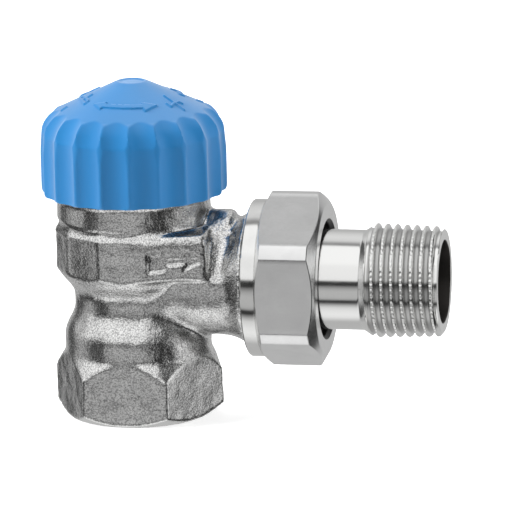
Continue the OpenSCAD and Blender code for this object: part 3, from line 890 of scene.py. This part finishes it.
class VALVE_OT_nut(bpy.types.Operator):
    """Builds the union nut: polished skirt, hexagon with turned corners and end"""

    bl_idname = "valve.nut"
    bl_label = "Union nut"

    def execute(self, context):
        """Carries the nut's profile round the tail's axis.

        The hexagon's radius at an angle is half its width over the cosine of
        the turn from the flat's middle, and at most the turned corner's. Its
        two ends are cones, so the edges there move along with that radius.
        """
        edge = np.degrees(np.arccos(NUT_HALF / NUT_CORNER))
        flat = np.linspace(-edge + 0.35, edge - 0.35, 19)
        corner = np.linspace(edge + 0.35, 60 - edge - 0.35, 7)
        sector = np.concatenate([flat, corner])
        angle = np.radians((sector[None] + 30 + 60 * np.arange(6)[:, None]).ravel())
        turn = (np.degrees(angle) % 60) - 30
        hexagon = np.minimum(NUT_HALF / np.cos(np.radians(turn)), NUT_CORNER)
        left = 24.95 + LEFT_CONE * np.maximum(hexagon - 14.65, 0)
        right = 36.2 - RIGHT_CONE * (hexagon - 14.02)
        sides = [
            (left + 0.02, hexagon - NUT_BEVEL), (left + NUT_BEVEL, hexagon), (left + 0.4, hexagon),
            (30.0, hexagon), (right - 0.3, hexagon), (right - NUT_BEVEL, hexagon),
            (right + 0.06, hexagon - NUT_BEVEL),
            (0.5 * (right + 36.16), 0.5 * (hexagon + 14.1)),
        ]
        inner = rounded(NUT_INSIDE, 0.1, 3)[1:-1]
        rows = [about_tail(x, r, angle) for x, r in [*NUT_SKIRT, *sides, *NUT_END, *inner]]
        piece = skin("union_nut_turned", np.array(rows), sharp_angle=28)
        sizes = context.scene.valve_union
        satin, bright = tuple(sizes.satin), tuple(sizes.bright)
        for finish in (
                milled_finish("Satin nickel", satin, 0.24),
                turned_finish("Polished nickel", bright, 0.10, 0.000002),
                # near-black nickel for the bore: painted shade inside the nut, not the plate's
                # colour
                inner_finish("Nut bore shade", (0.05, 0.05, 0.05), 1.0, 0.4, 1500.0)):
            piece.data.materials.append(finish)
        middle = face_middles(piece)
        index = (middle[:, 0] < 24.9).astype(np.int32)
        # faces inside the bore take the near-black painted shade
        index[from_tail(middle) < 11.3] = 2
        piece.data.polygons.foreach_set("material_index", index)
        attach(piece, "nut")
        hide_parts("union_nut")
        return {"FINISHED"}


# the tail's profile, as distance along and radius, before and after its thread
TUBE_RADIUS, THREAD_START = 9.3, 43.3
TAIL_START = [
    (28.9, 7.6), (28.9, 7.9), (31.3, 10.1), (31.4, 12.0), (31.7, 12.3), (33.8, 12.3),
    (33.85, TUBE_RADIUS), (43.2, TUBE_RADIUS),
]
TAIL_END = [(58.0, 9.45), (58.0, 7.8), (57.7, 7.6)]
NOTCH_DEPTH = 0.16


def crest_radius(along):
    """Radius of the tail's thread at its crests, on a taper of 1 in 16."""
    return 10.45 + (49.8 - along) / 32


class VALVE_OT_tail(bpy.types.Operator):
    """Builds the union tail with its tapered, notched thread"""

    bl_idname = "valve.tail"
    bl_label = "Union tail"

    def execute(self, context):
        """Carries the tail's profile round its axis.

        The radius is the crest's less the thread's depth, a cubic step of the
        distance from the crest in turns, and less the notches, a cosine round
        the tail that fades down the flanks. Two cones limit it at the ends.
        """
        sizes = context.scene.valve_union
        pitch, depth = millimetres(sizes.pitch), millimetres(sizes.thread_depth)
        angle = np.linspace(0, TURN, 6 * sizes.notches, endpoint=False)[None]
        along = np.arange(THREAD_START, 57.95, pitch / 15)[:, None]
        phase = ((along - 44.63) / pitch + angle / TURN) % 1.0
        flank = np.abs(phase - 0.5) * 2
        notch = 0.5 + 0.5 * np.cos(sizes.notches * angle)
        cut = depth * smooth_step(flank, 0.14, 0.74)
        cut = cut + NOTCH_DEPTH * notch * (1 - smooth_step(flank, 0.05, 0.28))
        limit = np.minimum(
            TUBE_RADIUS + (along - THREAD_START) * 0.62, 10.33 + (57.2 - along) * 0.95)
        outer = -soft_maximum(cut - crest_radius(along), -limit, 0.06)
        outer = np.maximum(outer, TUBE_RADIUS)
        start = rounded(TAIL_START, 0.12, 3)[1:-2]
        end = rounded(TAIL_END, 0.08, 3)[1:-1]
        rows = np.concatenate([
            about_tail(start[:, :1], start[:, 1:], angle),
            about_tail(along, outer, angle),
            about_tail(end[:, :1], end[:, 1:], angle)])
        piece = skin("threaded_tail", rows, sharp_angle=50)
        place = np.array([vertex.co for vertex in piece.data.vertices]) / MM
        # share down in the thread's grooves, which the finish dulls and darkens with painted shade
        gap = crest_radius(place[:, 0]) - from_tail(place)
        groove = smooth_step(gap, 0.35, 0.85) * (place[:, 0] > 44.9) * (place[:, 0] < 57.3)
        piece.data.attributes.new("groove", "FLOAT", "POINT").data.foreach_set("value", groove)
        piece.data.materials.append(thread_finish("Bright nickel", tuple(sizes.bright), 0.12))
        # the bore is coloured near-black nickel as painted shade inside the tail, not the plate's
        # colour
        bore_shade = inner_finish("Tail bore shade", (0.05, 0.047, 0.044), 1.0, 0.45, 1200.0)
        piece.data.materials.append(bore_shade)
        shaded_bore = from_tail(face_middles(piece)) < 7.75
        piece.data.polygons.foreach_set("material_index", shaded_bore.astype(np.int32))
        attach(piece, "tail")
        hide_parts("union_tail")
        print("tail triangles:", 2 * len(piece.data.polygons))
        return {"FINISHED"}


# pieces inside


# radius of the wire, mean radius and turns of the spring, and the height it stands on
SPRING_WIRE, SPRING_MEAN, SPRING_TURNS = 0.45, 4.5, 5


class VALVE_OT_spring(bpy.types.Operator):
    """Builds the return spring as a round wire coiled under the spindle's cup"""

    bl_idname = "valve.spring"
    bl_label = "Return spring"

    def execute(self, context):
        """Carries the wire's circle along a helix that fills the solid's height."""
        low, high = (millimetres(corner[2]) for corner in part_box("return_spring"))
        share = np.linspace(0, 1, 36 * SPRING_TURNS + 1)[:, None]
        side = np.linspace(0, TURN, 14, endpoint=False)[None]
        height = low + SPRING_WIRE + share * (high - low - 2 * SPRING_WIRE)
        rows = about_upright(
            SPRING_MEAN + SPRING_WIRE * np.cos(side), height + SPRING_WIRE * np.sin(side),
            TURN * SPRING_TURNS * share)
        piece = skin("coil_spring", rows, closed=False, sharp_angle=60)
        steel = inner_finish("Spring steel", (0.62, 0.62, 0.63), 1.0, 0.22, 1800.0)
        piece.data.materials.append(steel)
        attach(piece, "valve")
        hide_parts("return_spring")
        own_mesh(piece)
        return {"FINISHED"}


class VALVE_OT_inside(bpy.types.Operator):
    """Gives the pieces inside the valve their finishes"""

    bl_idname = "valve.inside"
    bl_label = "Pieces inside"

    def execute(self, context):
        finishes = {
            "brass": inner_finish("Brass", (0.78, 0.57, 0.27), 1.0, 0.28, 1500.0),
            "steel": inner_finish("Steel", (0.62, 0.62, 0.63), 1.0, 0.26, 1800.0),
            "rubber": inner_finish("Rubber", (0.03, 0.03, 0.032), 0.0, 0.6, 900.0),
        }
        slots = {row["node"]: row["material_slot"] for row in frame["record"]["subparts"]}
        for name, node in frame["nodes"].items():
            finish = finishes.get(slots.get(name))
            if finish is None:
                continue
            if not node.data.materials:
                node.data.materials.append(None)
            for slot in node.material_slots:
                slot.link = "OBJECT"
                slot.material = finish
        return {"FINISHED"}


# studio


# brightness of a reflection by its angle in degrees: 0 at the front, 90 overhead
REFLECTED = [
    (-180, 0.55), (-132, 0.50), (-100, 0.50), (-92, 0.66), (-84, 0.86), (-74, 0.93), (-62, 0.86),
    (-54, 0.74), (-48, 0.46), (-43, 0.16), (-41, 0.03), (-36.5, 0.03), (-33.5, 0.40), (-29, 0.50),
    (-14, 0.50), (-8, 0.40), (-3, 0.22), (0, 0.03), (8, 0.03), (11, 0.93), (42, 0.95),
    (52, 1.05), (94, 1.05), (98.5, 0.30), (103, 0.30), (112, 0.72), (126, 0.80), (140, 0.70),
    (160, 0.50), (180, 0.50),
]
# share of that brightness by the direction's share towards the tail
LOW_SIDES = [
    (-1.0, 0.75), (-0.93, 0.70), (-0.87, 0.08), (-0.74, 0.08), (-0.63, 1.0), (0.48, 1.0),
    (0.58, 0.05), (0.84, 0.08), (0.91, 1.1), (1.0, 1.3),
]
HIGH_SIDES = [
    (-1.0, 0.9), (-0.7, 1.0), (0.48, 1.0), (0.58, 0.05), (0.84, 0.08), (0.91, 0.8), (1.0, 0.9),
]
MIRROR_STRENGTH = 1.1
MATT_STRENGTH = 0.40
FLOOR_GREY = (0.85, 0.85, 0.85, 1.0)
FLOOR_GLOW = 0.62
# name, place and size in metres, and share of the lamp power
LAMPS = [
    ("key_lamp", (-0.62, -0.22, 0.40), 0.3, 1.0),
    ("top_lamp", (0.0, 0.2, 0.7), 0.6, 0.6),
    ("side_lamp", (0.65, 0.1, 0.25), 0.3, 0.4),
]
LAMP_AIM = (0.015, 0.0, 0.03)
CAMERA_AIM = (0.0227, 0.0, 0.030066)


def studio_world():
    """White to the camera, plain light on matt surfaces, and soft boxes in reflections.

    A reflection's angle about the tail's direction picks the box above the
    front, the grey card before the table's edge and the white table below.
    Its share towards either side dims it, as black flags do. There are low
    and high flags, which its share upward blends.
    """
    world = bpy.data.worlds.new("Studio")
    bpy.context.scene.world = world
    world.use_nodes = True
    tree = world.node_tree
    tree.nodes.clear()
    link = tree.links.new

    def greys(source, low, high, stops):
        """Greys over a value that runs from low to high."""
        share = add_node(tree, "ShaderNodeMapRange", From_Min=low, From_Max=high)
        link(source, share.inputs["Value"])
        ramp = add_node(tree, "ShaderNodeValToRGB")
        fill_ramp(ramp, [((place - low) / (high - low), grey) for place, grey in stops])
        link(share.outputs["Result"], ramp.inputs["Fac"])
        return ramp.outputs["Color"]

    split = add_node(tree, "ShaderNodeSeparateXYZ")
    link(add_node(tree, "ShaderNodeTexCoord").outputs["Generated"], split.inputs[0])
    front = add_node(tree, "ShaderNodeMath", {"operation": "MULTIPLY"})
    front.inputs[1].default_value = -1.0
    link(split.outputs["Y"], front.inputs[0])
    angle = add_node(tree, "ShaderNodeMath", {"operation": "ARCTAN2"})
    link(split.outputs["Z"], angle.inputs[0])
    link(front.outputs[0], angle.inputs[1])
    boxes = [(np.radians(degrees), grey / MIRROR_STRENGTH) for degrees, grey in REFLECTED]
    boxes = greys(angle.outputs[0], -np.pi, np.pi, boxes)
    lift = add_node(tree, "ShaderNodeMapRange", From_Min=0.10, From_Max=0.35)
    link(split.outputs["Z"], lift.inputs["Value"])
    low = greys(split.outputs["X"], -1.0, 1.0, LOW_SIDES)
    high = greys(split.outputs["X"], -1.0, 1.0, HIGH_SIDES)
    flags = mix_colours(tree, low, high, lift.outputs["Result"])
    mirror = add_node(tree, "ShaderNodeBackground", Strength=MIRROR_STRENGTH)
    link(mix_colours(tree, boxes, flags, 1.0, "MULTIPLY"), mirror.inputs["Color"])
    white = add_node(tree, "ShaderNodeBackground", Color=WHITE)
    path = add_node(tree, "ShaderNodeLightPath")
    shown = add_node(tree, "ShaderNodeBackground", Color=WHITE, Strength=MATT_STRENGTH)
    for ray, other in (("Is Glossy Ray", mirror), ("Is Camera Ray", white)):
        chosen = add_node(tree, "ShaderNodeMixShader")
        link(path.outputs[ray], chosen.inputs["Fac"])
        link(shown.outputs[0], chosen.inputs[1])
        link(other.outputs[0], chosen.inputs[2])
        shown = chosen
    link(shown.outputs[0], add_node(tree, "ShaderNodeOutputWorld").inputs["Surface"])


def white_floor():
    """White floor: matt to the light, and nearly white to the camera outside shadows."""
    span = 1500.0
    corners = np.array([(-span, -span, 0), (span, -span, 0), (span, span, 0), (-span, span, 0)])
    mesh = bpy.data.meshes.new("floor")
    mesh.from_pydata((corners * MM).tolist(), [], [(0, 1, 2, 3)])
    floor = bpy.data.objects.new("floor", mesh)
    bpy.context.scene.collection.objects.link(floor)
    material = bpy.data.materials.new("White floor")
    material.use_nodes = True
    tree = material.node_tree
    tree.nodes.clear()
    link = tree.links.new
    level = add_node(tree, "ShaderNodeMath", {"operation": "MULTIPLY"})
    level.inputs[1].default_value = FLOOR_GLOW
    link(add_node(tree, "ShaderNodeLightPath").outputs["Is Camera Ray"], level.inputs[0])
    glow = add_node(tree, "ShaderNodeEmission")
    link(level.outputs[0], glow.inputs["Strength"])
    total = add_node(tree, "ShaderNodeAddShader")
    link(add_node(tree, "ShaderNodeBsdfDiffuse", Color=FLOOR_GREY).outputs[0], total.inputs[0])
    link(glow.outputs[0], total.inputs[1])
    link(total.outputs[0], add_node(tree, "ShaderNodeOutputMaterial").inputs["Surface"])
    mesh.materials.append(material)
    floor.visible_glossy = False


def soft_lamp(name, place, size, power):
    """Square lamp that shines from a place towards the valve, hidden from reflections."""
    lamp = bpy.data.lights.new(name, "AREA")
    lamp.energy = power
    lamp.size = size
    holder = bpy.data.objects.new(name, lamp)
    holder.location = Vector(place)
    holder.rotation_euler = (Vector(LAMP_AIM) - Vector(place)).to_track_quat("-Z", "Y").to_euler()
    holder.visible_glossy = False
    bpy.context.scene.collection.objects.link(holder)


def photo_camera(sizes):
    """Camera on a sphere about its aim, turned, raised and rolled as the photograph's."""
    turn, rise, roll = sizes.view_azimuth, sizes.view_elevation, sizes.view_roll
    back = Vector((np.sin(turn) * np.cos(rise), -np.cos(turn) * np.cos(rise), np.sin(rise)))
    right = Vector((np.cos(turn), np.sin(turn), 0.0))
    up = back.cross(right)
    side = right * np.cos(roll) + up * np.sin(roll)
    top = up * np.cos(roll) - right * np.sin(roll)
    place = Vector(CAMERA_AIM) + back * sizes.view_distance
    camera = bpy.data.cameras.new("photo_camera")
    camera.sensor_width = 36.0
    camera.sensor_fit = "HORIZONTAL"
    camera.lens = sizes.lens
    camera.clip_start = 0.01
    holder = bpy.data.objects.new("photo_camera", camera)
    turned = Matrix((side, top, back)).transposed().to_4x4()
    holder.matrix_world = Matrix.Translation(place) @ turned
    bpy.context.scene.collection.objects.link(holder)
    bpy.context.scene.camera = holder


class VALVE_OT_studio(bpy.types.Operator):
    """Sets up the white floor, the lamps, the reflections and the camera"""

    bl_idname = "valve.studio"
    bl_label = "Studio"

    def execute(self, context):
        sizes = context.scene.valve_studio
        context.scene.view_settings.view_transform = "Standard"
        studio_world()
        white_floor()
        for name, place, size, share in LAMPS:
            soft_lamp(name, place, size, share * sizes.lamp_power)
        photo_camera(sizes)
        return {"FINISHED"}


# add-on


class VALVE_PT_pieces(bpy.types.Panel):
    bl_label = "Angle Valve"
    bl_idname = "VALVE_PT_pieces"
    bl_space_type = "VIEW_3D"
    bl_region_type = "UI"
    bl_category = "Valve"

    def draw(self, context):
        scene = context.scene
        for operators, group in PANEL_ROWS:
            box = self.layout.box()
            for operator in operators:
                box.operator(operator.bl_idname)
            if group is not None:
                settings = getattr(scene, group)
                for name in settings.bl_rna.properties.keys():
                    if name not in ("rna_type", "name"):
                        box.prop(settings, name)


GROUPS = {
    "valve_casting": CastingSettings,
    "valve_cap": CapSettings,
    "valve_union": UnionSettings,
    "valve_studio": StudioSettings,
}
PANEL_ROWS = [
    ((VALVE_OT_casting,), "valve_casting"),
    ((VALVE_OT_cap,), "valve_cap"),
    ((VALVE_OT_body_threads, VALVE_OT_nut, VALVE_OT_tail), "valve_union"),
    ((VALVE_OT_spring, VALVE_OT_inside), None),
    ((VALVE_OT_studio,), "valve_studio"),
]
OPERATORS = [operator for operators, _ in PANEL_ROWS for operator in operators]


def register():
    for kind in [*GROUPS.values(), *OPERATORS, VALVE_PT_pieces]:
        bpy.utils.register_class(kind)
    for name, kind in GROUPS.items():
        setattr(bpy.types.Scene, name, PointerProperty(type=kind))


def unregister():
    for name in GROUPS:
        delattr(bpy.types.Scene, name)
    for kind in reversed([*GROUPS.values(), *OPERATORS, VALVE_PT_pieces]):
        bpy.utils.unregister_class(kind)


def main():
    register()
    bpy.ops.valve.studio()
    bpy.ops.valve.casting()
    bpy.ops.valve.body_threads()
    bpy.ops.valve.cap()
    bpy.ops.valve.nut()
    bpy.ops.valve.tail()
    bpy.ops.valve.spring()
    bpy.ops.valve.inside()


if __name__ == "__main__":
    main()
